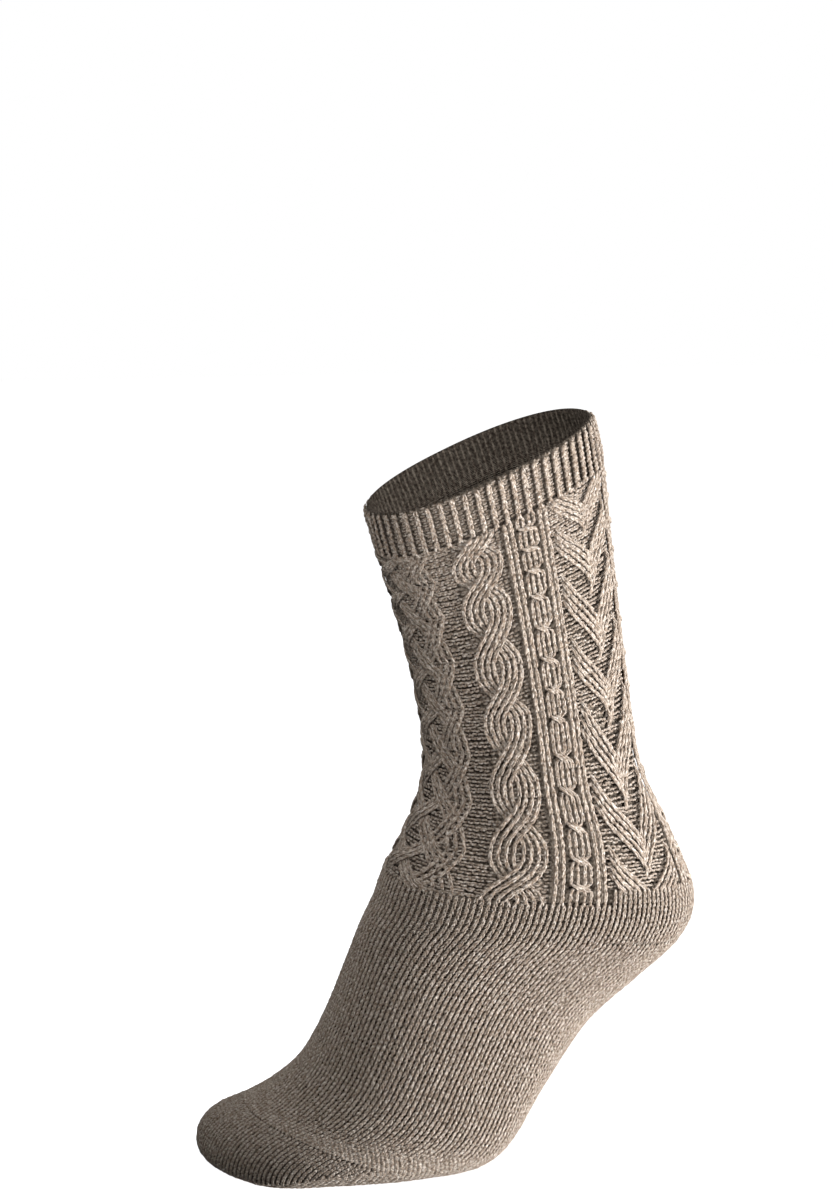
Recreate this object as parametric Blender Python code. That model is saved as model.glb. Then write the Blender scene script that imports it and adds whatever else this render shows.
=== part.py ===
"""Cable knit sock: one worn sock for a left foot, +Z up the leg, toes to -Y, origin in the middle of the ankle."""

import bpy
import numpy as np

foot_length = 0.250
knit_wall = 0.0024
cuff_wall = 0.0030
leg_wall = 0.0040
stitch_half_height = 0.0003
rib_depth = 0.0012
cable_depth = 0.0021
lattice_depth = 0.0011
piece_gap = 0.0004
rib_count = 56
wool = (0.42, 0.35, 0.29)

# One row per section from the rim down to the toe tip. Front and rear are the ends of the section's depth line,
# as shares of foot_length. Skew draws the little-toe side, +X, back, and lean lowers the front there.
SECTION_COLUMNS = (
    "front_y", "front_z", "rear_y", "rear_z", "half_width", "sideways", "skew", "lean", "widest",
    "front_square", "rear_square",
)
SECTIONS = (
    (-0.312, 0.452, 0.082, 0.616, 0.164, 0.000, 0.00, 0.00, 0.50, 2.2, 2.2),
    (-0.292, 0.380, 0.104, 0.540, 0.150, 0.000, 0.00, 0.00, 0.50, 2.2, 2.2),
    (-0.248, 0.244, 0.128, 0.360, 0.144, 0.000, 0.00, 0.00, 0.50, 2.2, 2.2),
    (-0.214, 0.104, 0.156, 0.172, 0.142, 0.000, 0.00, 0.00, 0.50, 2.2, 2.2),
    (-0.206, -0.004, 0.186, 0.004, 0.148, 0.000, 0.00, 0.00, 0.50, 2.2, 2.2),
    (-0.232, -0.086, 0.254, -0.136, 0.162, 0.000, 0.00, 0.00, 0.52, 2.2, 2.2),
    (-0.278, -0.168, 0.302, -0.252, 0.170, 0.000, 0.00, 0.00, 0.55, 2.2, 2.2),
    (-0.298, -0.214, 0.274, -0.328, 0.165, 0.000, 0.00, 0.00, 0.54, 2.2, 2.3),
    (-0.324, -0.256, 0.182, -0.392, 0.156, 0.000, 0.00, 0.00, 0.50, 2.1, 2.4),
    (-0.348, -0.316, 0.082, -0.454, 0.160, 0.000, 0.02, 0.00, 0.48, 2.1, 2.4),
    (-0.388, -0.412, -0.014, -0.551, 0.172, 0.000, 0.05, 0.00, 0.45, 2.1, 2.5),
    (-0.431, -0.487, -0.097, -0.634, 0.185, 0.000, 0.12, 0.02, 0.42, 2.1, 2.6),
    (-0.481, -0.536, -0.170, -0.666, 0.192, -0.006, 0.20, 0.03, 0.42, 2.2, 2.6),
    (-0.530, -0.564, -0.290, -0.670, 0.184, -0.012, 0.30, 0.05, 0.42, 2.2, 2.5),
    (-0.566, -0.583, -0.398, -0.669, 0.168, -0.018, 0.40, 0.07, 0.45, 2.4, 2.5),
    (-0.590, -0.605, -0.476, -0.667, 0.150, -0.024, 0.48, 0.07, 0.48, 2.6, 2.5),
    (-0.602, -0.631, -0.530, -0.667, 0.128, -0.030, 0.52, 0.05, 0.50, 2.6, 2.4),
    (-0.603, -0.654, -0.564, -0.668, 0.088, -0.036, 0.54, 0.03, 0.50, 2.4, 2.2),
    (-0.588, -0.667, -0.588, -0.667, 0.000, -0.040, 0.54, 0.00, 0.50, 2.0, 2.0),
)
cuff_end, leg_end, heel_end, toe_start, toe_end = 1.0, 6.0, 9.0, 13.0, 18.0
rim_edge_station = 0.12
last_toe_ring = 17.5
inner_toe_ring, inner_toe_end = 16.6, 16.9
heel_side = 0.25
bend_width = 0.06
rim_rounding = 0.0009
girth_share = 1.36
station_step = 0.02
angle_step = 0.05
same_share = 1e-9

# The cable leg from the middle of the front round to the middle of the back, in shares of the whole girth:
# where each strip ends, what it is, and how many columns of the solid it takes.
STRIPS = (
    (0.086, "lattice", 6),
    (0.118, "purl", 1),
    (0.200, "rope", 8),
    (0.210, "purl", 2),
    (0.221, "rib", 1),
    (0.231, "purl", 2),
    (0.258, "twist", 2),
    (0.268, "purl", 2),
    (0.279, "rib", 1),
    (0.285, "purl", 1),
    (0.402, "antler", 8),
    (0.413, "purl", 2),
    (0.424, "rib", 1),
    (0.434, "purl", 2),
    (0.461, "twist", 2),
    (0.470, "purl", 2),
    (0.481, "rib", 1),
    (0.500, "purl", 2),
)
rope_pitch = 0.098
rope_sway, rope_reach = 0.30, 0.55
lattice_pitch = 0.088
lattice_openings = 3
antler_pitch = 0.104
antler_climb = 1.5
leg_rows, leg_inner_rows = 27, 4
cuff_rows, cuff_inner_rows = 4, 3
cuff_ridge = (0.0, 0.40, 0.70)
foot_columns = 48
heel_rows, foot_rows = 7, 8
toe_rows, toe_inner_rows = 7, 4


def section_values(stations):
    """The section table at any stations, by a smooth curve through its rows."""
    rows = np.array(SECTIONS, float)
    padded = np.vstack([2 * rows[0] - rows[1], rows, 2 * rows[-1] - rows[-2]])
    first = np.clip(np.floor(stations).astype(int), 0, len(rows) - 2)
    f = (stations - first)[:, None]
    before, start, end, after = (padded[first + k] for k in range(4))
    curve = 2 * start + (end - before) * f
    curve += (2 * before - 5 * start + 4 * end - after) * f**2
    curve += (3 * start - before - 3 * end + after) * f**3
    return curve / 2


def at_angle(stations, angles):
    """Points of the main form at matching stations and section angles, angle 0 at the front."""
    values = section_values(stations)
    row = {name: values[:, k] for k, name in enumerate(SECTION_COLUMNS)}
    cosine = np.cos(angles)
    sine = np.sin(angles)
    power = 2 / np.where(cosine >= 0, row["front_square"], row["rear_square"])
    across = row["half_width"] * np.sign(sine) * np.abs(sine) ** power
    along = np.sign(cosine) * np.abs(cosine) ** power
    centre_y = row["rear_y"] + (row["front_y"] - row["rear_y"]) * row["widest"]
    centre_z = row["rear_z"] + (row["front_z"] - row["rear_z"]) * row["widest"]
    reach_y = np.where(along > 0, row["front_y"] - centre_y, centre_y - row["rear_y"])
    reach_z = np.where(along > 0, row["front_z"] - centre_z, centre_z - row["rear_z"])
    bend = (across + np.hypot(across, bend_width)) / 2
    y = centre_y + reach_y * along + row["skew"] * bend
    z = centre_z + reach_z * along - row["lean"] * across * (1 + along) / 2
    return np.stack([row["sideways"] + across, y, z], -1) * foot_length


def angles_for_shares(stations, shares):
    """Section angles whose walk round the girth, taken on each half of the section, is the given share."""
    steps = np.linspace(0, np.pi, 181)
    out = np.empty(len(stations))
    half_walks = {}
    for k, (station, share) in enumerate(zip(stations, shares)):
        side = 1 if share % 1 <= 0.5 else -1
        key = (round(float(station), 6), side)
        if key not in half_walks:
            points = at_angle(np.full(len(steps), station), steps * side)
            walk = np.append(0, np.cumsum(np.linalg.norm(np.diff(points, axis=0), axis=1)))
            half_walks[key] = walk / walk[-1]
        part = share % 1 if side > 0 else 1 - share % 1
        out[k] = side * np.interp(part * 2, half_walks[key], steps)
    return out


def surface(stations, shares, sink=0.0):
    """Points at matching stations and girth shares, sunk inwards from the main form."""
    stations = np.asarray(stations, float)
    angles = angles_for_shares(stations, shares)
    points = at_angle(stations, angles)
    inside = np.clip(stations, station_step, toe_end - 2 * station_step)
    down = at_angle(inside + station_step, angles) - at_angle(inside - station_step, angles)
    round_girth = at_angle(inside, angles + angle_step) - at_angle(inside, angles - angle_step)
    normal = np.cross(down, round_girth)
    normal /= np.linalg.norm(normal, axis=1)[:, None]
    middle = at_angle(inside, angles * 0) + at_angle(inside, angles * 0 + np.pi)
    outward = np.sign(np.sum(normal * (points - middle / 2), axis=1))
    return points - normal * outward[:, None] * np.asarray(sink).reshape(-1, 1)


def shifted(station, shares, distance):
    """Stations that lie the given distance further down the form than one station, at each girth share."""
    angles = angles_for_shares(np.full(len(shares), station), shares)
    ahead = at_angle(np.full(len(shares), station + station_step), angles)
    behind = at_angle(np.full(len(shares), station - station_step), angles)
    return station + distance * 2 * station_step / np.linalg.norm(ahead - behind, axis=1)


def rows_between(top, bottom, shares, count, top_gap=True, bottom_gap=True):
    """Stations for a grid of rows, each end drawn back by half the gap where a neighbour follows."""
    start = shifted(top, shares, piece_gap / 2) if top_gap else np.full(len(shares), top)
    end = shifted(bottom, shares, -piece_gap / 2) if bottom_gap else np.full(len(shares), bottom)
    down = np.linspace(0, 1, count)[:, None]
    return start + (end - start) * down


def grid_points(stations, shares, sink):
    """A grid of points from a grid of stations, one column per girth share."""
    rows, columns = stations.shape
    shares = np.broadcast_to(shares, (rows, columns)).ravel()
    sink = np.broadcast_to(sink, (rows, columns)).ravel()
    return surface(stations.ravel(), shares, sink)


def strip_faces(first, second):
    """Quads between two loops of point numbers of the same length."""
    return [(first[k - 1], second[k - 1], second[k], first[k]) for k in range(len(first))]


def tube(outer, inner, columns):
    """A closed shell from two grids of full rings that share their columns."""
    outer_rows = np.arange(len(outer)).reshape(-1, columns)
    inner_rows = np.arange(len(inner)).reshape(-1, columns) + len(outer)
    faces = []
    for k in range(len(outer_rows) - 1):
        faces += strip_faces(outer_rows[k], outer_rows[k + 1])
    for k in range(len(inner_rows) - 1):
        faces += strip_faces(inner_rows[k + 1], inner_rows[k])
    faces += strip_faces(inner_rows[0], outer_rows[0])
    faces += strip_faces(outer_rows[-1], inner_rows[-1])
    return np.vstack([outer, inner]), faces


def patch(outer, inner, rows, columns, present):
    """A closed shell over the present cells of a grid whose columns go right round."""
    count = rows * columns
    number = np.arange(count).reshape(rows, columns)
    faces = []
    for i in range(rows - 1):
        for j in range(columns):
            if not present[i, j]:
                continue
            after = (j + 1) % columns
            cell = (number[i, j], number[i + 1, j], number[i + 1, after], number[i, after])
            faces.append(cell)
            faces.append(tuple(point + count for point in reversed(cell)))
            beside = (
                (present[i, j - 1], cell[0], cell[1]),
                (i + 2 < rows and present[i + 1, j], cell[1], cell[2]),
                (present[i, after], cell[2], cell[3]),
                (i > 0 and present[i - 1, j], cell[3], cell[0]),
            )
            for joined, start, end in beside:
                if not joined:
                    faces.append((end, start, start + count, end + count))
    used = sorted({point for face in faces for point in face})
    renumber = {point: k for k, point in enumerate(used)}
    faces = [tuple(renumber[point] for point in face) for face in faces]
    return np.vstack([outer, inner])[used], faces


def capped(outer, outer_tip, inner, inner_tip, columns):
    """A closed cup: two stacks of rings, each shut by its own tip point."""
    outer_rows = np.arange(len(outer)).reshape(-1, columns)
    inner_rows = np.arange(len(inner)).reshape(-1, columns) + len(outer)
    outer_end = len(outer) + len(inner)
    inner_end = outer_end + 1
    faces = strip_faces(inner_rows[0], outer_rows[0])
    for k in range(len(outer_rows) - 1):
        faces += strip_faces(outer_rows[k], outer_rows[k + 1])
    for k in range(len(inner_rows) - 1):
        faces += strip_faces(inner_rows[k + 1], inner_rows[k])
    for k in range(columns):
        faces.append((outer_rows[-1][k - 1], outer_end, outer_rows[-1][k]))
        faces.append((inner_rows[-1][k], inner_end, inner_rows[-1][k - 1]))
    return np.vstack([outer, inner, outer_tip, inner_tip]), faces


def leg_shares():
    """The leg's column places round the girth, the strips of one half and their mirror."""
    half = [0.0]
    for end, _, columns in STRIPS:
        half += list(np.linspace(half[-1], end, columns + 1)[1:])
    return np.array(half + [1 - share for share in reversed(half[1:-1])])


def leg_depth(share, drop):
    """How far the leg's outer face lies below its cable tops, at a girth share and a height in foot_length."""
    share = min(share % 1, 1 - share % 1)
    if any(abs(share - edge) < same_share for edge in rib_edges()):
        return 0.0
    start = 0.0
    for end, kind, _ in STRIPS:
        if share <= end + same_share:
            break
        start = end
    if kind == "purl" or abs(share - end) < same_share:
        return cable_depth
    centred = 2 * (share - start) / (end - start) - 1
    if kind == "rope":
        turn = 2 * np.pi * drop / rope_pitch
        open_eye = rope_reach * (0.5 + 0.5 * np.cos(turn))
        off_strand = abs(abs(centred - rope_sway * np.sin(turn)) - open_eye)
        return cable_depth * min(1.0, off_strand / rope_reach)
    if kind == "lattice":
        wave = np.cos(lattice_openings * np.pi * centred) * np.cos(2 * np.pi * drop / lattice_pitch)
        return lattice_depth * (0.5 + 0.5 * wave)
    if kind == "antler":
        climb = drop / antler_pitch + antler_climb * abs(centred)
        return cable_depth * (0.5 - 0.5 * np.cos(2 * np.pi * climb))
    return 0.0


def rib_edges():
    """The girth shares at the two sides of each single rib."""
    edges = []
    start = 0.0
    for end, kind, _ in STRIPS:
        if kind in ("rib", "twist"):
            edges += [start, end]
        start = end
    return edges


def cuff_points():
    shares = np.array([(k + part) / rib_count for k in range(rib_count) for part in cuff_ridge])
    depth = np.array([0.0, 0.0, rib_depth] * rib_count)
    outer = rows_between(0.0, cuff_end, shares, cuff_rows, top_gap=False)
    outer[1] = rim_edge_station
    inner = rows_between(0.0, cuff_end, shares, cuff_inner_rows, top_gap=False)
    rounding = np.array([rim_rounding] + [0.0] * (cuff_rows - 1))[:, None]
    points = grid_points(outer, shares, depth + rounding)
    return tube(points, grid_points(inner, shares, cuff_wall), len(shares))


def leg_points():
    shares = leg_shares()
    outer = rows_between(cuff_end, leg_end, shares, leg_rows)
    inner = rows_between(cuff_end, leg_end, shares, leg_inner_rows)
    centre = surface(outer[:, 0], np.zeros(leg_rows))
    walk = np.append(0, np.cumsum(np.linalg.norm(np.diff(centre, axis=0), axis=1))) / foot_length
    depth = np.array([[leg_depth(share, drop) for share in shares] for drop in walk])
    points = grid_points(outer, shares, depth)
    return tube(points, grid_points(inner, shares, leg_wall), len(shares))


def heel_and_foot():
    shares = np.arange(foot_columns) / foot_columns
    in_heel = (shares >= heel_side) & (shares < 1 - heel_side)
    on_seam = (shares == heel_side).astype(float) - (shares == 1 - heel_side)
    half_gap = piece_gap / 2 / (girth_share * foot_length)
    heel_shares = shares + on_seam * half_gap
    foot_shares = shares - on_seam * half_gap
    sinks = (stitch_half_height, knit_wall)
    heel_grid = rows_between(leg_end, heel_end, heel_shares, heel_rows)
    heel_walls = [grid_points(heel_grid, heel_shares, sink) for sink in sinks]
    heel = patch(*heel_walls, heel_rows, foot_columns, np.tile(in_heel, (heel_rows - 1, 1)))
    upper = rows_between(leg_end, heel_end, foot_shares, heel_rows, bottom_gap=False)
    lower = rows_between(heel_end, toe_start, foot_shares, foot_rows, top_gap=False)
    below_heel = (shares >= heel_side) & (shares <= 1 - heel_side)
    lower[0] = np.where(below_heel, shifted(heel_end, foot_shares, piece_gap / 2), heel_end)
    upper[-1] = lower[0]
    foot_grid = np.vstack([upper, lower[1:]])
    beside_heel = np.tile(~in_heel, (heel_rows - 1, 1))
    all_round = np.ones((foot_rows - 1, foot_columns), bool)
    foot_walls = [grid_points(foot_grid, foot_shares, sink) for sink in sinks]
    return heel, patch(*foot_walls, len(foot_grid), foot_columns, np.vstack([beside_heel, all_round]))


def toe_points():
    shares = np.arange(foot_columns) / foot_columns
    outer = rows_between(toe_start, last_toe_ring, shares, toe_rows, bottom_gap=False)
    inner = rows_between(toe_start, inner_toe_ring, shares, toe_inner_rows, bottom_gap=False)
    front_and_rear = np.array([0.0, 0.5])
    inner_tip = surface(np.full(2, inner_toe_end), front_and_rear).mean(axis=0)
    outer_tip = surface(np.full(2, toe_end), front_and_rear).mean(axis=0)
    return capped(
        grid_points(outer, shares, stitch_half_height), outer_tip,
        grid_points(inner, shares, knit_wall), inner_tip, foot_columns,
    )


def add_piece(name, points, faces, home, tint):
    mesh = bpy.data.meshes.new(name)
    mesh.from_pydata([tuple(point) for point in points], [], [tuple(int(k) for k in face) for face in faces])
    mesh.validate()
    mesh.shade_smooth()
    material = bpy.data.materials.new(name + "_wool")
    material.use_nodes = True
    shader = material.node_tree.nodes["Principled BSDF"]
    shader.inputs["Base Color"].default_value = (*(channel * tint for channel in wool), 1.0)
    shader.inputs["Roughness"].default_value = 0.95
    mesh.materials.append(material)
    home.objects.link(bpy.data.objects.new(name, mesh))


for old in list(bpy.data.objects):
    bpy.data.objects.remove(old)
sock = bpy.data.collections.new("cable_knit_sock")
bpy.context.scene.collection.children.link(sock)
heel_shell, foot_shell = heel_and_foot()
add_piece("rib_cuff", *cuff_points(), sock, 0.95)
add_piece("cable_leg", *leg_points(), sock, 1.0)
add_piece("heel", *heel_shell, sock, 1.0)
add_piece("foot", *foot_shell, sock, 1.0)
add_piece("toe", *toe_points(), sock, 0.9)
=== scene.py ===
"""Cable knit sock, dressed: every visible stitch is a pair of yarn legs laid along its wale, cable or rib."""

import bpy
import numpy as np
from mathutils import Matrix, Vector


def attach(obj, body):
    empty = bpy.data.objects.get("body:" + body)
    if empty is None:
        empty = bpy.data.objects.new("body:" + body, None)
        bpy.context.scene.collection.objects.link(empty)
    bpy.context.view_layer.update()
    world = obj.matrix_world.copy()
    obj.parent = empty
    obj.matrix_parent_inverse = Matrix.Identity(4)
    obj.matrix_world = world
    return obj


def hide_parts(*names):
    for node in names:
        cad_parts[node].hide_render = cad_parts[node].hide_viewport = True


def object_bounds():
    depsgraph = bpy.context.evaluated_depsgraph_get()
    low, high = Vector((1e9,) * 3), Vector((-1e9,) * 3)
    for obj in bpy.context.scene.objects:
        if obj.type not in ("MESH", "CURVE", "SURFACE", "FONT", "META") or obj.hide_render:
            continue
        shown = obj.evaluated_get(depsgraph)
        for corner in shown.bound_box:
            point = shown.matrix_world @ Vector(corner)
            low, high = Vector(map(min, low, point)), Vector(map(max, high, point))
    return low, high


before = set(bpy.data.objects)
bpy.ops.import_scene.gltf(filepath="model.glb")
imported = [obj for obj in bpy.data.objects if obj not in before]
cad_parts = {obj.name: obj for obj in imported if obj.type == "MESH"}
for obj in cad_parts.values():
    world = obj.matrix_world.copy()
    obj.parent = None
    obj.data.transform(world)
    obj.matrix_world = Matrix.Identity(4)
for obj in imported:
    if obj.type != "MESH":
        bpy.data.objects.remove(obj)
cad_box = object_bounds()

foot_length = 0.250
knit_wall = 0.0024
cuff_wall = 0.0030
leg_wall = 0.0040
bend_width = 0.06
mm = 0.001
rng = np.random.default_rng(7)

# The sock's form, one row per section from the rim down to the toe tip, in shares of foot_length.
SECTION_COLUMNS = (
    "front_y", "front_z", "rear_y", "rear_z", "half_width", "sideways", "skew", "lean", "widest",
    "front_square", "rear_square",
)
SECTIONS = (
    (-0.312, 0.452, 0.082, 0.616, 0.164, 0.000, 0.00, 0.00, 0.50, 2.2, 2.2),
    (-0.292, 0.380, 0.104, 0.540, 0.150, 0.000, 0.00, 0.00, 0.50, 2.2, 2.2),
    (-0.248, 0.244, 0.128, 0.360, 0.144, 0.000, 0.00, 0.00, 0.50, 2.2, 2.2),
    (-0.214, 0.104, 0.156, 0.172, 0.142, 0.000, 0.00, 0.00, 0.50, 2.2, 2.2),
    (-0.206, -0.004, 0.186, 0.004, 0.148, 0.000, 0.00, 0.00, 0.50, 2.2, 2.2),
    (-0.232, -0.086, 0.254, -0.136, 0.162, 0.000, 0.00, 0.00, 0.52, 2.2, 2.2),
    (-0.278, -0.168, 0.302, -0.252, 0.170, 0.000, 0.00, 0.00, 0.55, 2.2, 2.2),
    (-0.298, -0.214, 0.274, -0.328, 0.165, 0.000, 0.00, 0.00, 0.54, 2.2, 2.3),
    (-0.324, -0.256, 0.182, -0.392, 0.156, 0.000, 0.00, 0.00, 0.50, 2.1, 2.4),
    (-0.348, -0.316, 0.082, -0.454, 0.160, 0.000, 0.02, 0.00, 0.48, 2.1, 2.4),
    (-0.388, -0.412, -0.014, -0.551, 0.172, 0.000, 0.05, 0.00, 0.45, 2.1, 2.5),
    (-0.431, -0.487, -0.097, -0.634, 0.185, 0.000, 0.12, 0.02, 0.42, 2.1, 2.6),
    (-0.481, -0.536, -0.170, -0.666, 0.192, -0.006, 0.20, 0.03, 0.42, 2.2, 2.6),
    (-0.530, -0.564, -0.290, -0.670, 0.184, -0.012, 0.30, 0.05, 0.42, 2.2, 2.5),
    (-0.566, -0.583, -0.398, -0.669, 0.168, -0.018, 0.40, 0.07, 0.45, 2.4, 2.5),
    (-0.590, -0.605, -0.476, -0.667, 0.150, -0.024, 0.48, 0.07, 0.48, 2.6, 2.5),
    (-0.602, -0.631, -0.530, -0.667, 0.128, -0.030, 0.52, 0.05, 0.50, 2.6, 2.4),
    (-0.603, -0.654, -0.564, -0.668, 0.088, -0.036, 0.54, 0.03, 0.50, 2.4, 2.2),
    (-0.588, -0.667, -0.588, -0.667, 0.000, -0.040, 0.54, 0.00, 0.50, 2.0, 2.0),
)
cuff_end, leg_end, heel_end, toe_start = 1.0, 6.0, 9.0, 13.0
last_station = 17.9
station_step = 0.05
share_count = 360

# Rows of stitches down the leg, counted from the cuff, and the station each lies at. Small cables cross every
# four rows.
LEG_ROWS = (
    (-3, 0.84), (0, 1.00), (3, 1.18), (7, 1.40), (11, 1.62), (15, 1.88), (19, 2.21), (23, 2.53), (27, 2.85),
    (31, 3.17), (35, 3.65), (39, 4.11), (43, 4.67), (47, 5.22), (51, 5.67), (54, 6.00), (57, 6.30),
)
leg_row_count = 54
back_row_count = 51


def section_values(stations):
    """The section table at any stations, by a smooth curve through its rows."""
    rows = np.array(SECTIONS, float)
    padded = np.vstack([2 * rows[0] - rows[1], rows, 2 * rows[-1] - rows[-2]])
    first = np.clip(np.floor(stations).astype(int), 0, len(rows) - 2)
    f = (stations - first)[:, None]
    before, start, end, after = (padded[first + k] for k in range(4))
    curve = 2 * start + (end - before) * f
    curve += (2 * before - 5 * start + 4 * end - after) * f**2
    curve += (3 * start - before - 3 * end + after) * f**3
    return curve / 2


def at_angle(stations, angles):
    """Points of the main form at matching stations and section angles, angle 0 at the front."""
    values = section_values(stations)
    row = {name: values[:, k] for k, name in enumerate(SECTION_COLUMNS)}
    cosine = np.cos(angles)
    sine = np.sin(angles)
    power = 2 / np.where(cosine >= 0, row["front_square"], row["rear_square"])
    across = row["half_width"] * np.sign(sine) * np.abs(sine) ** power
    along = np.sign(cosine) * np.abs(cosine) ** power
    centre_y = row["rear_y"] + (row["front_y"] - row["rear_y"]) * row["widest"]
    centre_z = row["rear_z"] + (row["front_z"] - row["rear_z"]) * row["widest"]
    reach_y = np.where(along > 0, row["front_y"] - centre_y, centre_y - row["rear_y"])
    reach_z = np.where(along > 0, row["front_z"] - centre_z, centre_z - row["rear_z"])
    bend = (across + np.hypot(across, bend_width)) / 2
    y = centre_y + reach_y * along + row["skew"] * bend
    z = centre_z + reach_z * along - row["lean"] * across * (1 + along) / 2
    return np.stack([row["sideways"] + across, y, z], -1) * foot_length


def build_form():
    """Points and outward normals of the form on a fine grid of stations and girth shares."""
    stations = np.arange(0, last_station + station_step / 2, station_step)
    steps = np.linspace(0, np.pi, 361)
    shares = np.arange(share_count + 1) / share_count
    points = np.empty((len(stations), share_count + 1, 3))
    for k, station in enumerate(stations):
        angle = np.empty(share_count + 1)
        for side in (1, -1):
            ring = at_angle(np.full(len(steps), station), steps * side)
            walk = np.append(0, np.cumsum(np.linalg.norm(np.diff(ring, axis=0), axis=1)))
            chosen = shares <= 0.5 if side > 0 else shares > 0.5
            part = shares if side > 0 else 1 - shares
            angle[chosen] = side * np.interp(part[chosen] * 2, walk / walk[-1], steps)
        points[k] = at_angle(np.full(share_count + 1, station), angle)
    wrapped = np.concatenate([points[:, -3:-1], points, points[:, 1:3]], axis=1)
    along = np.gradient(points, axis=0)
    around = (wrapped[:, 3:-1] - wrapped[:, 1:-3])
    normals = np.cross(along, around)
    normals /= np.linalg.norm(normals, axis=2, keepdims=True)
    middle = points[:, :-1].mean(axis=1, keepdims=True)
    flip = np.sign(np.sum(normals * (points - middle), axis=(1, 2)))[:, None, None]
    girth = np.linalg.norm(np.diff(points, axis=1), axis=2).sum(axis=1)
    return stations, points, normals * flip, girth


STATION_GRID, FORM_POINTS, FORM_NORMALS, GIRTH = build_form()


def on_form(stations, shares):
    """Points and normals of the form at any stations and girth shares."""
    row = np.clip(np.asarray(stations, float) / station_step, 0, len(STATION_GRID) - 1.001)
    column = (np.asarray(shares, float) % 1) * share_count
    i = row.astype(int)
    j = np.minimum(column.astype(int), share_count - 1)
    a = (row - i)[..., None]
    b = (column - j)[..., None]
    out = []
    for grid in (FORM_POINTS, FORM_NORMALS):
        top = grid[i, j] * (1 - b) + grid[i, j + 1] * b
        low = grid[i + 1, j] * (1 - b) + grid[i + 1, j + 1] * b
        out.append(top * (1 - a) + low * a)
    normals = out[1] / np.linalg.norm(out[1], axis=-1, keepdims=True)
    return out[0], normals


def girth_at(stations):
    return np.interp(stations, STATION_GRID, GIRTH)


def row_ruler(start, end, share_list, pitch):
    """Stations of evenly spaced rows between two stations, measured as the mean over some girth shares."""
    stations = np.arange(start, end + 0.001, 0.02)
    walk = np.zeros(len(stations))
    for share in share_list:
        points, _ = on_form(stations, np.full(len(stations), share))
        walk[1:] += np.cumsum(np.linalg.norm(np.diff(points, axis=0), axis=1)) / len(share_list)
    count = max(2, round(walk[-1] / pitch))
    return np.interp(np.arange(count + 1) / count * walk[-1], walk, stations)


class Yarn:
    """Collects patches of yarn, each a small grid of points, to be joined into one mesh."""

    def __init__(self, name):
        self.name = name
        self.grids = []

    def add(self, grids):
        """Takes an array of patches: patch, along, across, xyz."""
        if len(grids):
            self.grids.append(grids)

    def build(self, material, node, slot):
        by_shape = {}
        for grids in self.grids:
            by_shape.setdefault(grids.shape[1:3], []).append(grids)
        points, quads, fibre, bake = [], [], [], []
        offset = 0
        patches = sum(len(grids) for grids in self.grids)
        side = int(np.ceil(np.sqrt(patches)))
        done = 0
        for (along, across), stacks in by_shape.items():
            stack = np.concatenate(stacks)
            count = len(stack)
            number = np.arange(along * across).reshape(along, across)
            cell = np.stack([number[:-1, :-1], number[1:, :-1], number[1:, 1:], number[:-1, 1:]], -1)
            cell = cell.reshape(-1, 4)
            faces = (np.arange(count) * along * across)[:, None, None] + cell[None] + offset
            u = np.repeat(np.linspace(0, 1, along), across)
            v = np.tile(np.linspace(0, 1, across), along)
            shift = rng.integers(0, 500, (count, 2))
            place = np.arange(done, done + count)
            corner = np.stack([place % side, place // side], -1)
            local = np.stack([u, v], -1)[None]
            bake_uv = (corner[:, None] + 0.06 + 0.88 * local) / side
            fibre_uv = local + shift[:, None]
            points.append(stack.reshape(-1, 3))
            quads.append(faces.reshape(-1, 4))
            fibre.append(fibre_uv.reshape(-1, 2))
            bake.append(bake_uv.reshape(-1, 2))
            offset += count * along * across
            done += count
        points = np.vstack(points)
        quads = np.vstack(quads)
        mesh = make_mesh(self.name, points, quads)
        set_uv(mesh, "OFBake", np.vstack(bake), quads)
        set_uv(mesh, "fibre", np.vstack(fibre), quads)
        return dress(mesh, self.name, material, node)


def make_mesh(name, points, quads):
    mesh = bpy.data.meshes.new(name)
    mesh.vertices.add(len(points))
    mesh.vertices.foreach_set("co", points.astype(np.float32).ravel())
    mesh.loops.add(quads.size)
    mesh.loops.foreach_set("vertex_index", quads.astype(np.int32).ravel())
    mesh.polygons.add(len(quads))
    mesh.polygons.foreach_set("loop_start", np.arange(0, quads.size, 4, dtype=np.int32))
    mesh.update(calc_edges=True)
    mesh.validate()
    mesh.shade_smooth()
    return mesh


def set_uv(mesh, name, values, quads):
    layer = mesh.uv_layers.new(name=name)
    layer.data.foreach_set("uv", values[quads.ravel()].astype(np.float32).ravel())


def dress(mesh, name, material, node):
    mesh.materials.append(material)
    piece = bpy.data.objects.new(name, mesh)
    bpy.context.scene.collection.objects.link(piece)
    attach(piece, "root")
    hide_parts(node)
    return piece


# One leg of a stitch, from its narrow end to its wide end: how far along its row, how far out as a share of
# the wale's width, how thick, and how high, in shares of the yarn's radius.
LEG_SHAPE = (
    (-0.30, 0.03, 0.60, -0.60),
    (0.10, 0.10, 1.00, 0.15),
    (0.58, 0.175, 1.00, 0.22),
    (1.04, 0.25, 0.60, -0.60),
)
ROUND = np.radians((-112, -42, 42, 112))


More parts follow.
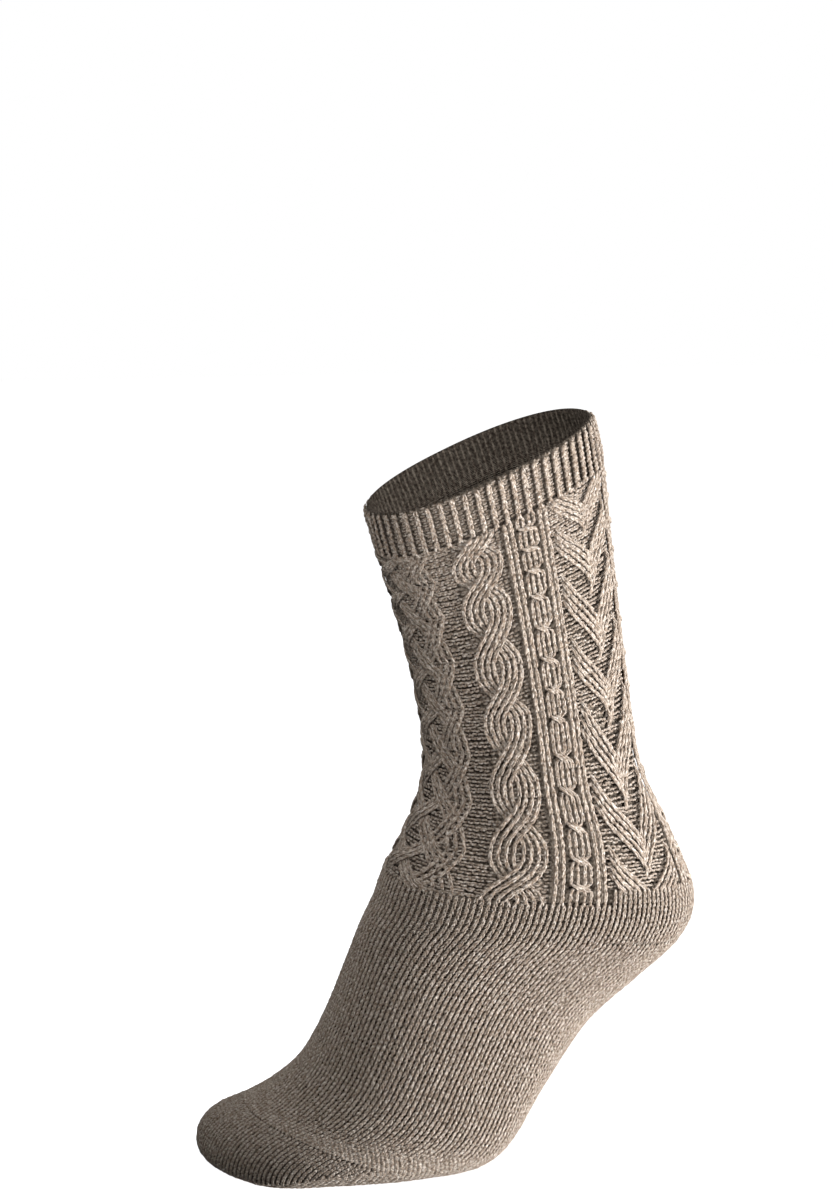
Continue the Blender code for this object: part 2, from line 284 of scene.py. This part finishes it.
def stitches(rows, path_row, path_station, path_share, width, radius, height, spread=1.0, wobble=0.10):
    """Pairs of yarn legs at the given rows of one wale. Width, radius and height above the form are in metres,
    and may change along the path."""
    points, normals = on_form(path_station, path_share)
    tangent = np.gradient(points, axis=0)
    tangent /= np.linalg.norm(tangent, axis=1)[:, None]
    sideways = np.cross(normals, tangent)
    sideways /= np.linalg.norm(sideways, axis=1)[:, None]
    width = np.broadcast_to(width, path_row.shape)
    radius = np.broadcast_to(radius, path_row.shape)
    height = np.broadcast_to(height, path_row.shape)
    shape = np.array(LEG_SHAPE)
    count = len(rows)
    sides = np.array([-1.0, 1.0])
    at = rows[:, None, None] + shape[None, None, :, 0] + rng.normal(0, wobble, (count, 2, 1))
    at = np.broadcast_to(at, (count, 2, len(shape)))

    def follow(values):
        if values.ndim == 1:
            return np.interp(at, path_row, values)
        return np.stack([np.interp(at, path_row, values[:, k]) for k in range(3)], -1)

    centre = follow(points)
    out = follow(sideways)
    up = follow(normals)
    wide = follow(width)
    thick = follow(radius) * shape[:, 2]
    thick = thick * rng.normal(1, 0.08, (count, 2, 1))
    lift = follow(height) + follow(radius) * (shape[:, 3] - 1)
    offset = sides[None, :, None] * wide * shape[:, 1] * spread
    lean = rng.normal(0, 0.045, (count, 2, 1)) * (shape[:, 0] - 0.4)
    offset = offset + (rng.normal(0, 0.03, (count, 2, 1)) + lean) * wide
    lift = lift + rng.normal(0, 0.16, (count, 2, 1)) * thick
    centre = centre + out * offset[..., None] + up * lift[..., None]
    ring = np.sin(ROUND)[:, None] * out[..., None, :] + np.cos(ROUND)[:, None] * up[..., None, :]
    across = thick[..., None, None] * ring
    grids = centre[..., None, :] + across
    return grids.reshape(-1, len(shape), len(ROUND), 3)


def straight(station_of_row, share, width_share, radius, height, first, last, **more):
    """A wale that keeps its girth share. Its width is a share of the girth."""
    path_row = np.arange(first - 1, last + 1.6, 0.25)
    station = station_of_row(path_row)
    width = width_share * girth_at(station)
    path_share = np.full(len(path_row), share)
    return stitches(np.arange(first, last, 1.0), path_row, station, path_share, width, radius, height, **more)


def purl_bumps(station_of_row, share, half_share, first, last, sink, radius, step=0.5):
    """Short level arcs of yarn, the back of a stitch, turned up and down in turn."""
    rows = np.arange(first, last, step)
    turn = np.linspace(-1, 1, 4)
    flip = np.where(np.arange(len(rows)) % 2 == 0, 1.0, -1.0)[:, None]
    jitter = rng.normal(0, 0.07, (len(rows), 1))
    stations = station_of_row(rows[:, None] + jitter + 0.13 * flip * (turn**2)[None])
    shift = half_share * (0.35 * flip + rng.normal(0, 0.15, (len(rows), 1)))
    points, normals = on_form(stations, share + shift + half_share * turn[None])
    side = np.gradient(points, axis=1)
    side /= np.linalg.norm(side, axis=2, keepdims=True)
    down = np.cross(side, normals)
    arch = radius * (0.2 - 0.9 * turn**2)[None] - sink
    centre = points + normals * arch[..., None]
    ring = np.sin(ROUND)[:, None] * down[..., None, :] + np.cos(ROUND)[:, None] * normals[..., None, :]
    return centre[..., None, :] + radius * ring


leg_table = np.array(LEG_ROWS)


def leg_station(row):
    return np.interp(row, leg_table[:, 0], leg_table[:, 1])


def ruler_station(ruler):
    steps = np.arange(len(ruler))
    slope_start = ruler[1] - ruler[0]
    slope_end = ruler[-1] - ruler[-2]

    def station_of_row(row):
        row = np.asarray(row, float)
        inside = np.interp(row, steps, ruler)
        inside = inside + np.minimum(row, 0) * slope_start
        return inside + np.maximum(row - steps[-1], 0) * slope_end

    return station_of_row


def wool(name, tint, scale=1.0):
    """Marled wool: pale and brown fibres lying along the yarn, with a fine fuzz over them. Each leg's sides
    and ends are darkened towards dark brown as painted shade for the gaps between stitches.
    """
    material = bpy.data.materials.new(name)
    material.use_nodes = True
    tree = material.node_tree
    nodes, links = tree.nodes, tree.links
    shader = nodes["Principled BSDF"]
    shader.inputs["Roughness"].default_value = 0.9
    shader.inputs["Specular IOR Level"].default_value = 0.2
    shader.inputs["Sheen Weight"].default_value = 0.35
    shader.inputs["Sheen Roughness"].default_value = 0.6
    shader.inputs["Sheen Tint"].default_value = (0.9, 0.82, 0.72, 1)
    uv = nodes.new("ShaderNodeUVMap")
    uv.uv_map = "fibre"
    stretch = nodes.new("ShaderNodeMapping")
    stretch.inputs["Scale"].default_value = (2.6, 7.0, 1)
    links.new(uv.outputs["UV"], stretch.inputs["Vector"])
    streak = nodes.new("ShaderNodeTexNoise")
    streak.inputs["Scale"].default_value = 1.0
    streak.inputs["Detail"].default_value = 3.0
    streak.inputs["Roughness"].default_value = 0.65
    links.new(stretch.outputs["Vector"], streak.inputs["Vector"])
    place = nodes.new("ShaderNodeTexCoord")
    patchy = nodes.new("ShaderNodeTexNoise")
    patchy.inputs["Scale"].default_value = 800.0 * scale
    patchy.inputs["Detail"].default_value = 2.0
    links.new(place.outputs["Object"], patchy.inputs["Vector"])
    both = nodes.new("ShaderNodeMix")
    both.data_type = "FLOAT"
    both.inputs["Factor"].default_value = 0.35
    links.new(streak.outputs["Fac"], both.inputs["A"])
    links.new(patchy.outputs["Fac"], both.inputs["B"])
    ramp = nodes.new("ShaderNodeValToRGB")
    stops = (
        (0.38, (0.13, 0.082, 0.052)), (0.46, (0.34, 0.245, 0.175)),
        (0.54, (0.62, 0.52, 0.435)), (0.62, (0.95, 0.88, 0.81)),
    )
    ramp.color_ramp.elements[0].position = stops[0][0]
    ramp.color_ramp.elements[0].color = (*(c * tint for c in stops[0][1]), 1)
    ramp.color_ramp.elements[1].position = stops[-1][0]
    ramp.color_ramp.elements[1].color = (*(c * tint for c in stops[-1][1]), 1)
    for position, colour in stops[1:-1]:
        stop = ramp.color_ramp.elements.new(position)
        stop.color = (*(c * tint for c in colour), 1)
    links.new(both.outputs["Result"], ramp.inputs["Fac"])
    # Painted shade: the sides and ends of each leg, read from its fibre UV, are mixed towards dark brown to
    # stand in for the shadow in the gaps between stitches.
    parts = nodes.new("ShaderNodeSeparateXYZ")
    links.new(uv.outputs["UV"], parts.inputs["Vector"])
    faces = []
    for axis, power in (("X", 5.0), ("Y", 2.0)):
        value = parts.outputs[axis]
        operations = (
            ("FRACT", 0.0), ("MULTIPLY", 2.0), ("SUBTRACT", 1.0), ("ABSOLUTE", 0.0), ("POWER", power),
        )
        for operation, amount in operations:
            step = nodes.new("ShaderNodeMath")
            step.operation = operation
            links.new(value, step.inputs[0])
            step.inputs[1].default_value = amount
            value = step.outputs["Value"]
        faces.append(value)
    edge = nodes.new("ShaderNodeMath")
    edge.operation = "MAXIMUM"
    links.new(faces[0], edge.inputs[0])
    links.new(faces[1], edge.inputs[1])
    painted_gap_shade = nodes.new("ShaderNodeMath")
    painted_gap_shade.operation = "MULTIPLY"
    painted_gap_shade.inputs[1].default_value = 0.92
    links.new(edge.outputs["Value"], painted_gap_shade.inputs[0])
    shade = nodes.new("ShaderNodeMix")
    shade.data_type = "RGBA"
    shade.inputs["B"].default_value = (0.10 * tint, 0.062 * tint, 0.039 * tint, 1)
    links.new(painted_gap_shade.outputs["Value"], shade.inputs["Factor"])
    links.new(ramp.outputs["Color"], shade.inputs["A"])
    links.new(shade.outputs["Result"], shader.inputs["Base Color"])
    fine = nodes.new("ShaderNodeMapping")
    fine.inputs["Scale"].default_value = (4.0, 16.0, 1)
    links.new(uv.outputs["UV"], fine.inputs["Vector"])
    ply = nodes.new("ShaderNodeTexNoise")
    ply.inputs["Scale"].default_value = 1.0
    ply.inputs["Detail"].default_value = 4.0
    links.new(fine.outputs["Vector"], ply.inputs["Vector"])
    bump = nodes.new("ShaderNodeBump")
    bump.inputs["Strength"].default_value = 0.9
    bump.inputs["Distance"].default_value = 0.0008
    links.new(ply.outputs["Fac"], bump.inputs["Height"])
    links.new(bump.outputs["Normal"], shader.inputs["Normal"])
    return material


def backing_wool(name, tint, across, down):
    """The face behind the stitches: level rows of loops, in wool darkened as painted shade for the gaps
    between stitches and the inner face.
    """
    material = bpy.data.materials.new(name)
    material.use_nodes = True
    tree = material.node_tree
    nodes, links = tree.nodes, tree.links
    shader = nodes["Principled BSDF"]
    shader.inputs["Roughness"].default_value = 0.95
    shader.inputs["Specular IOR Level"].default_value = 0.1
    uv = nodes.new("ShaderNodeUVMap")
    uv.uv_map = "fibre"
    grid = nodes.new("ShaderNodeMapping")
    grid.inputs["Scale"].default_value = (across, down, 1)
    links.new(uv.outputs["UV"], grid.inputs["Vector"])
    split = nodes.new("ShaderNodeSeparateXYZ")
    links.new(grid.outputs["Vector"], split.inputs["Vector"])
    waves = []
    for axis in ("X", "Y"):
        wave = nodes.new("ShaderNodeMath")
        wave.operation = "SINE"
        links.new(split.outputs[axis], wave.inputs[0])
        waves.append(wave)
    product = nodes.new("ShaderNodeMath")
    product.operation = "MULTIPLY"
    links.new(waves[0].outputs["Value"], product.inputs[0])
    links.new(waves[1].outputs["Value"], product.inputs[1])
    total = nodes.new("ShaderNodeMath")
    total.operation = "ADD"
    links.new(product.outputs["Value"], total.inputs[0])
    links.new(waves[1].outputs["Value"], total.inputs[1])
    place = nodes.new("ShaderNodeTexCoord")
    mottle = nodes.new("ShaderNodeTexNoise")
    mottle.inputs["Scale"].default_value = 900.0
    mottle.inputs["Detail"].default_value = 3.0
    links.new(place.outputs["Object"], mottle.inputs["Vector"])
    ramp = nodes.new("ShaderNodeValToRGB")
    ramp.color_ramp.elements[0].position = 0.38
    ramp.color_ramp.elements[0].color = (0.16 * tint, 0.12 * tint, 0.09 * tint, 1)
    ramp.color_ramp.elements[1].position = 0.64
    ramp.color_ramp.elements[1].color = (0.50 * tint, 0.42 * tint, 0.34 * tint, 1)
    links.new(mottle.outputs["Fac"], ramp.inputs["Fac"])
    links.new(ramp.outputs["Color"], shader.inputs["Base Color"])
    bump = nodes.new("ShaderNodeBump")
    bump.inputs["Strength"].default_value = 0.8
    bump.inputs["Distance"].default_value = 0.0006
    links.new(total.outputs["Value"], bump.inputs["Height"])
    links.new(bump.outputs["Normal"], shader.inputs["Normal"])
    return material


def shell(name, stations, shares, outer_sink, inner_sink, node, material, rim=False, wrap=True):
    """A closed wall behind the stitches: outer face, inner face and the edges that join them."""
    rows = len(stations)
    columns = len(shares)
    station_grid = np.broadcast_to(np.asarray(stations, float)[:, None], (rows, columns))
    share_grid = np.broadcast_to(shares, (rows, columns))
    points, normals = on_form(station_grid, share_grid)
    outer = points - normals * np.broadcast_to(outer_sink, (rows, columns))[..., None]
    inner = points - normals * np.broadcast_to(inner_sink, (rows, columns))[..., None]
    profile = [outer, inner[::-1]]
    if rim:
        along = points[0] - points[1]
        along /= np.linalg.norm(along, axis=1)[:, None]
        middle = (outer[0] + inner[0]) / 2
        reach = (outer[0] - inner[0]) / 2
        size = np.linalg.norm(reach, axis=1)[:, None]
        turns = np.radians((150, 120, 90, 60, 30))
        arc = [middle + reach * np.cos(t) + along * size * np.sin(t) for t in turns]
        profile = [outer, inner[::-1], np.array(arc)]
    loop = np.concatenate(profile)
    total = len(loop)
    number = np.arange(total * columns).reshape(total, columns)
    after = np.roll(number, -1, axis=0)
    if wrap:
        right = np.roll(number, -1, axis=1)
        right_after = np.roll(after, -1, axis=1)
        quads = np.stack([number, after, right_after, right], -1).reshape(-1, 4)
    else:
        quads = np.stack([number[:, :-1], after[:, :-1], after[:, 1:], number[:, 1:]], -1).reshape(-1, 4)
    mesh = make_mesh(name, loop.reshape(-1, 3), quads)
    u = np.broadcast_to(np.arange(columns) / columns, (total, columns))
    v = np.broadcast_to((np.arange(total) / total)[:, None], (total, columns))
    flat = np.stack([u, v], -1).reshape(-1, 2)
    corners = flat[quads.ravel()].reshape(-1, 4, 2)
    wrap_u = (corners[..., 0].max(axis=1) - corners[..., 0].min(axis=1)) > 0.5
    low = corners[wrap_u, :, 0]
    corners[wrap_u, :, 0] = np.where(low < 0.5, low + 1, low)
    wrap_v = (corners[..., 1].max(axis=1) - corners[..., 1].min(axis=1)) > 0.5
    low = corners[wrap_v, :, 1]
    corners[wrap_v, :, 1] = np.where(low < 0.5, low + 1, low)
    for layer_name, scale in (("OFBake", 0.98 / (1 + 1 / min(columns, total))), ("fibre", 1.0)):
        layer = mesh.uv_layers.new(name=layer_name)
        layer.data.foreach_set("uv", (corners * scale).astype(np.float32).ravel())
    return dress(mesh, name, material, node)


# Cuff: 56 knit ribs with purl gutters between them.
rib_count = 56
cuff_ruler = row_ruler(0.0, cuff_end, (0.0, 0.25, 0.5, 0.75), 2.15 * mm)
cuff_station = ruler_station(cuff_ruler)
cuff_rows = len(cuff_ruler) - 1
cuff = Yarn("cuff_ribs")
for k in range(rib_count):
    rib_share = (k + 0.2) / rib_count
    gutter_share = (k + 0.7) / rib_count
    cuff.add(straight(cuff_station, rib_share, 0.62 / rib_count, 0.72 * mm, 0.0, 0.35, cuff_rows - 0.2))
    cuff.add(purl_bumps(
        cuff_station, gutter_share, 0.20 / rib_count, 0.3, cuff_rows - 0.3, 1.9 * mm, 0.45 * mm,
    ))

# Leg, from the middle of the front round to the middle of the back, in degrees.
lattice = Yarn("leg_lattice")
ropes = Yarn("leg_ropes")
ribs = Yarn("leg_ribs")
antlers = Yarn("leg_antlers")
purls = Yarn("leg_purl_ground")
fine_wale = 2.45 * mm
fine_radius = 0.56 * mm


def leg_wale_path(degrees, side, height, first, last, width=fine_wale, radius=fine_radius):
    """One wale of the leg whose place and height may change row by row."""
    path_row = np.arange(first - 1, last + 1.6, 0.125)
    place = degrees(path_row) if callable(degrees) else np.full(len(path_row), float(degrees))
    high = height(path_row) if callable(height) else height
    return stitches(
        np.arange(first, last, 1.0), path_row, leg_station(path_row), side * place / 360, width, radius, high
    )


def ease(t):
    t = np.clip(t, 0, 1)
    return t * t * (3 - 2 * t)


# The front is a plaited lattice: strands of three wales cross it from edge to edge, over and under each other.
lattice_edge = 31.0
lattice_crossing = 20.0
lattice_strands = 6
lattice_spacing = 2 * lattice_crossing / lattice_strands


def lattice_strand(start, place):
    def travel(row):
        return (row - start) % (2 * lattice_crossing)

    def degrees(row):
        going = 1 - 2 * np.abs(travel(row) - lattice_crossing) / lattice_crossing
        return lattice_edge * np.tanh(1.4 * going) / 0.94 + place

    def height(row):
        t = travel(row)
        falling = np.where(t < lattice_crossing, 1.0, -1.0)
        stage = np.where(t < lattice_crossing, t, t - lattice_crossing)
        return falling * np.cos(2 * np.pi * stage / lattice_spacing) * 0.65 * mm - 0.35 * mm
    return degrees, height


rope_period, rope_phase = 8.0, 6.3
rope_centre, rope_swing = 58.0, 7.6
small_period, small_phase = 4.0, 3.0
small_swing = 3.3
antler_period, antler_phase = 8.0, 1.0


def rope_strand(start_side, place):
    """A strand of the big rope: it swaps sides between one eye and the next."""
    def swing(row):
        turn = (row - rope_phase) / rope_period
        whole = np.floor(turn)
        part = ease((turn - whole - 0.06) / 0.88)
        sign = np.where(whole % 2 == 0, 1, -1) * start_side
        return sign * (1 - 2 * part), part, sign

    def degrees(row):
        value, part, sign = swing(row)
        spread = np.where(sign > 0, 0.22, -0.10) * np.sin(np.pi * part)
        return rope_centre + rope_swing * value + place * (1 + spread)

    def height(row):
        _, part, sign = swing(row)
        crossing = np.sin(np.pi * part) ** 1.3
        return crossing * np.where(sign > 0, 0.9 * mm, -1.5 * mm) - 0.1 * mm
    return degrees, height


def small_strand(centre, start_side, place):
    def swing(row):
        turn = (row - small_phase) / small_period + 0.5
        whole = np.floor(turn)
        part = ease((turn - whole - 0.32) / 0.36)
        sign = np.where(whole % 2 == 0, 1, -1) * start_side
        return sign * (1 - 2 * part), part, sign

    def degrees(row):
        value, part, _ = swing(row)
        return centre + small_swing * value + place * (1 - 0.3 * np.sin(np.pi * part))

    def height(row):
        _, part, sign = swing(row)
        return np.sin(np.pi * part) * np.where(sign < 0, 0.7 * mm, -1.4 * mm) - 0.3 * mm
    return degrees, height


def antler_strand(top, wing, place):
    """A wale that runs from the panel's edge to its middle and there dives under. Place is its turn in the
    band."""
    def part_of(row):
        return (row - top + 1.05 * place) / 7.4

    def degrees(row):
        part = np.clip(part_of(row), -0.2, 1.25)
        run = 0.35 * part + 0.65 * ease(part)
        return 124.5 + wing * (20.3 * (1 - run) + 0.6 - 0.5 * place)

    def height(row):
        part = part_of(row)
        dive = ease((part - 0.95) / 0.18)
        rise = ease((0.08 - part) / 0.12)
        return 0.3 * mm - 1.8 * mm * dive - 1.7 * mm * rise
    return degrees, height


for k in range(lattice_strands):
    for place in (-4.1, 0.0, 4.1):
        degrees, height = lattice_strand(k * lattice_spacing, place)
        lattice.add(leg_wale_path(degrees, 1, height, 0.4, leg_row_count))
for side in (1, -1):
    for start_side in (1, -1):
        for place in (-5.3, -1.8, 1.8, 5.3):
            degrees, height = rope_strand(start_side, place)
            ropes.add(leg_wale_path(degrees, side, height, 0.4, leg_row_count))
    for centre, last in (
        (77.5, leg_row_count), (98.0, leg_row_count), (151.0, back_row_count), (171.0, back_row_count),
    ):
        for place in (-1.75, 1.75):
            ribs.add(leg_wale_path(centre + place, side, 0.0, 0.4, last, width=2.6 * mm, radius=0.6 * mm))
    for centre, last in ((88.0, leg_row_count), (161.0, back_row_count)):
        for start_side in (1, -1):
            for place in (-1.55, 1.55):
                degrees, height = small_strand(centre, start_side, place)
                ribs.add(leg_wale_path(degrees, side, height, 0.4, last, width=2.3 * mm, radius=0.53 * mm))
    for k in range(-2, 7):
        top = antler_phase + k * antler_period
        for place in (0, 1, 2, 3):
            first = max(0.4, top - 1.05 * place - 0.3)
            last = min(back_row_count, top - 1.05 * place + 8.3)
            if last - first < 1:
                continue
            for wing in (1, -1):
                degrees, height = antler_strand(top, wing, place)
                antlers.add(leg_wale_path(degrees, side, height, first, last))
    for centre, half, last, sink in (
        *((place, 1.6, leg_row_count, 1.8) for place in (2.0, 5.6, 9.2, 12.8, 16.4, 20.0, 23.6, 27.2, 30.8)),
        *((place, 1.6, leg_row_count, 1.6) for place in (34.2, 37.4, 40.6, 43.8)),
        *((place, 1.6, leg_row_count, 2.6) for place in (47.4, 52.0, 58.0, 64.0, 68.6)),
        (72.2, 1.4, leg_row_count, 2.3),
        *((place, 1.7, back_row_count, 1.7) for place in np.arange(103.4, 147.0, 3.3)),
        (176.0, 1.5, back_row_count, 2.2), (179.0, 1.2, back_row_count, 2.2),
    ):
        purls.add(purl_bumps(leg_station, side * centre / 360, half / 360, 0.3, last, sink * mm, 0.5 * mm))

# Foot: plain knit, 136 wales round, with the heel turned along a mitre line and the toe shaped at its sides.
wale_count = 136
yarn_radius = 0.43 * mm
front_shares = (0.0, 0.12, 0.25)
rear_shares = (0.25, 0.38, 0.5)
instep_ruler = row_ruler(leg_end, heel_end, front_shares, 2.05 * mm)
heel_ruler = row_ruler(5.70, 7.0, rear_shares, 2.1 * mm)
turn_ruler = row_ruler(7.0, heel_end, rear_shares, 2.25 * mm)
foot_ruler = row_ruler(heel_end, toe_start, (0.0, 0.25, 0.5, 0.75), 2.15 * mm)
instep = Yarn("instep_knit")
foot_upper = Yarn("foot_upper_knit")
foot_sole = Yarn("foot_sole_knit")
heel = Yarn("heel_knit")
for k in range(wale_count):
    share = (k + 0.5) / wale_count
    is_heel = 0.25 < share < 0.75
    plain = {"width_share": 1 / wale_count, "radius": yarn_radius, "height": 0.0}
    if is_heel:
        upper = 5.70 if 0.285 < share < 0.715 else 6.0
        station_of_row = ruler_station(heel_ruler)
        begin = 0.0 if upper < 6 else float(np.interp(6.0, heel_ruler, np.arange(len(heel_ruler))))
        heel.add(straight(station_of_row, share, first=begin + 0.1, last=len(heel_ruler) - 1.5, **plain))
        heel.add(straight(ruler_station(turn_ruler), share, first=0.35, last=len(turn_ruler) - 1, **plain))
    else:
        station_of_row = ruler_station(instep_ruler)
        instep.add(straight(station_of_row, share, first=0.2, last=len(instep_ruler) - 1, **plain))
    foot = foot_sole if is_heel else foot_upper
    foot.add(straight(ruler_station(foot_ruler), share, first=0.0, last=len(foot_ruler) - 1, **plain))

toe = Yarn("toe_knit")
toe_wale = 2.15 * mm
for middle, ruler in ((0.0, row_ruler(toe_start, 17.85, (0.0, 0.1, 0.2), 2.0 * mm)),
                      (0.5, row_ruler(toe_start, 17.85, (0.5, 0.4, 0.3), 2.2 * mm))):
    station_of_row = ruler_station(ruler)
    for k in range(-31, 32):
        path_row = np.arange(-1, len(ruler) + 0.6, 0.25)
        station = np.minimum(station_of_row(path_row), last_station)
        offset = k * toe_wale / girth_at(station)
        inside = np.abs(offset) < 0.252
        if inside.sum() < 8:
            continue
        last = min(path_row[inside][-1] - 0.4, len(ruler) - 1)
        offset = np.clip(offset, -0.262, 0.262)
        toe.add(stitches(
            np.arange(0.3, last, 1.0), path_row, station, middle + offset, toe_wale, 0.45 * mm, 0.0,
        ))

knit_material = wool("marled_wool", 1.0)
cuff_material = wool("marled_wool_cuff", 0.96)
# Painted shade: the toe's wool is tinted darker (0.86) because the toe lies in shade.
shaded_toe_material = wool("marled_wool_toe_shaded", 0.86)
# Painted shade: the walls behind the stitches and inside the sock get dark wool (tint 0.5) standing in for
# shadow.
shaded_backing = backing_wool("wool_backing_shaded", 0.5, 2 * np.pi * 104, 2 * np.pi * 90)

cuff.build(cuff_material, "rib_cuff", "cuff_wool")
for cables in (lattice, ropes, ribs, antlers):
    cables.build(knit_material, "cable_leg", "leg_wool")
purls.build(knit_material, "cable_leg", "leg_wool")
instep.build(knit_material, "foot", "foot_wool")
foot_upper.build(knit_material, "foot", "foot_wool")
foot_sole.build(knit_material, "foot", "foot_wool")
heel.build(knit_material, "heel", "foot_wool")
toe.build(shaded_toe_material, "toe", "foot_wool")

ring = np.arange(216) / 216
knit_sink = 1.25 * mm
stations = np.linspace(0.0, cuff_end, 12)
shell("cuff_lining", stations, ring, 1.9 * mm, cuff_wall, "rib_cuff", shaded_backing, rim=True)
stations = np.linspace(cuff_end, leg_end, 90)
shell("leg_lining", stations, ring, 2.7 * mm, leg_wall, "cable_leg", shaded_backing)
rear_ring = np.linspace(0.25, 0.75, 109)
front_ring = np.linspace(-0.25, 0.25, 109)
stations = np.linspace(leg_end, heel_end, 30)
shell("heel_lining", stations, rear_ring, knit_sink, knit_wall, "heel", shaded_backing, wrap=False)
shell("instep_lining", stations, front_ring, knit_sink, knit_wall, "foot", shaded_backing, wrap=False)
stations = np.linspace(heel_end, toe_start, 45)
shell("foot_lining", stations, ring, knit_sink, knit_wall, "foot", shaded_backing)
shell("toe_lining", np.linspace(toe_start, 17.9, 40), ring, knit_sink, 1.9 * mm, "toe", shaded_backing)

# Floor, light and camera.
floor_mesh = bpy.data.meshes.new("floor")
floor_size = 6.0
floor_z = cad_box[0][2] - 0.001
floor_mesh.from_pydata(
    [(x * floor_size, y * floor_size, floor_z) for x, y in ((-1, -1), (1, -1), (1, 1), (-1, 1))],
    [], [(0, 1, 2, 3)])
floor = bpy.data.objects.new("floor", floor_mesh)
bpy.context.scene.collection.objects.link(floor)
floor_material = bpy.data.materials.new("pale_floor")
floor_material.use_nodes = True
floor_shader = floor_material.node_tree.nodes["Principled BSDF"]
floor_shader.inputs["Base Color"].default_value = (0.9, 0.9, 0.9, 1)
floor_shader.inputs["Roughness"].default_value = 0.9
floor_shader.inputs["Emission Color"].default_value = (1, 1, 1, 1)
floor_shader.inputs["Emission Strength"].default_value = 1.0
floor_mesh.materials.append(floor_material)
floor.visible_diffuse = False
floor.visible_glossy = False
floor.visible_shadow = False

azimuth, elevation = np.radians(66.93), np.radians(9.27)
level = np.cos(elevation)
toward = np.array([np.sin(azimuth) * level, -np.cos(azimuth) * level, np.sin(elevation)])
rightward = np.array([np.cos(azimuth), np.sin(azimuth), 0.0])
upward = np.cross(toward, rightward)
camera_data = bpy.data.cameras.new("camera")
camera_data.sensor_fit = "VERTICAL"
camera_data.sensor_height = 36
camera_data.lens = 36 * 2056.27 / 1200
camera_data.clip_start = 0.01
camera = bpy.data.objects.new("camera", camera_data)
bpy.context.scene.collection.objects.link(camera)
where = 0.89626 * toward - 0.05249 * rightward + 0.07129 * upward
camera.matrix_world = Matrix((
    (rightward[0], upward[0], toward[0], where[0]),
    (rightward[1], upward[1], toward[1], where[1]),
    (rightward[2], upward[2], toward[2], where[2]),
    (0, 0, 0, 1),
))
bpy.context.scene.camera = camera


def area_light(name, azimuth_degrees, elevation_degrees, distance, power, size, target=(0, 0, 0)):
    """A soft square light at a direction from its target, aimed at it. Azimuth 0 is in front of the toes."""
    data = bpy.data.lights.new(name, "AREA")
    data.energy = power
    data.size = size
    lamp = bpy.data.objects.new(name, data)
    bpy.context.scene.collection.objects.link(lamp)
    turn, rise = np.radians(azimuth_degrees), np.radians(elevation_degrees)
    z_axis = np.array([np.sin(turn) * np.cos(rise), -np.cos(turn) * np.cos(rise), np.sin(rise)])
    place = np.array(target) + z_axis * distance
    x_axis = np.cross((0, 0, 1), z_axis)
    x_axis /= np.linalg.norm(x_axis)
    y_axis = np.cross(z_axis, x_axis)
    lamp.matrix_world = Matrix((
        (x_axis[0], y_axis[0], z_axis[0], place[0]),
        (x_axis[1], y_axis[1], z_axis[1], place[1]),
        (x_axis[2], y_axis[2], z_axis[2], place[2]),
        (0, 0, 0, 1),
    ))
    lamp.visible_camera = False


area_light("key", 142.0, -18.0, 1.5, 66.0, 0.9)
area_light("high_key", 152.0, 45.0, 1.5, 9.0, 0.9)
area_light("left_fill", -70.0, 25.0, 1.5, 5.0, 1.2)
area_light("toe_light", 75.0, 50.0, 0.45, 0.9, 0.12, (0.0, -0.125, -0.13))

world = bpy.data.worlds.new("studio")
bpy.context.scene.world = world
world.use_nodes = True
tree = world.node_tree
background = tree.nodes["Background"]
background.inputs["Color"].default_value = (1, 1, 1, 1)
background.inputs["Strength"].default_value = 1.0
dim = tree.nodes.new("ShaderNodeBackground")
dim.inputs["Color"].default_value = (1, 1, 1, 1)
dim.inputs["Strength"].default_value = 0.09
path = tree.nodes.new("ShaderNodeLightPath")
mix = tree.nodes.new("ShaderNodeMixShader")
tree.links.new(path.outputs["Is Camera Ray"], mix.inputs["Fac"])
tree.links.new(dim.outputs["Background"], mix.inputs[1])
tree.links.new(background.outputs["Background"], mix.inputs[2])
tree.links.new(mix.outputs["Shader"], tree.nodes["World Output"].inputs["Surface"])
bpy.context.scene.view_settings.view_transform = "Standard"
bpy.context.scene.view_settings.look = "None"
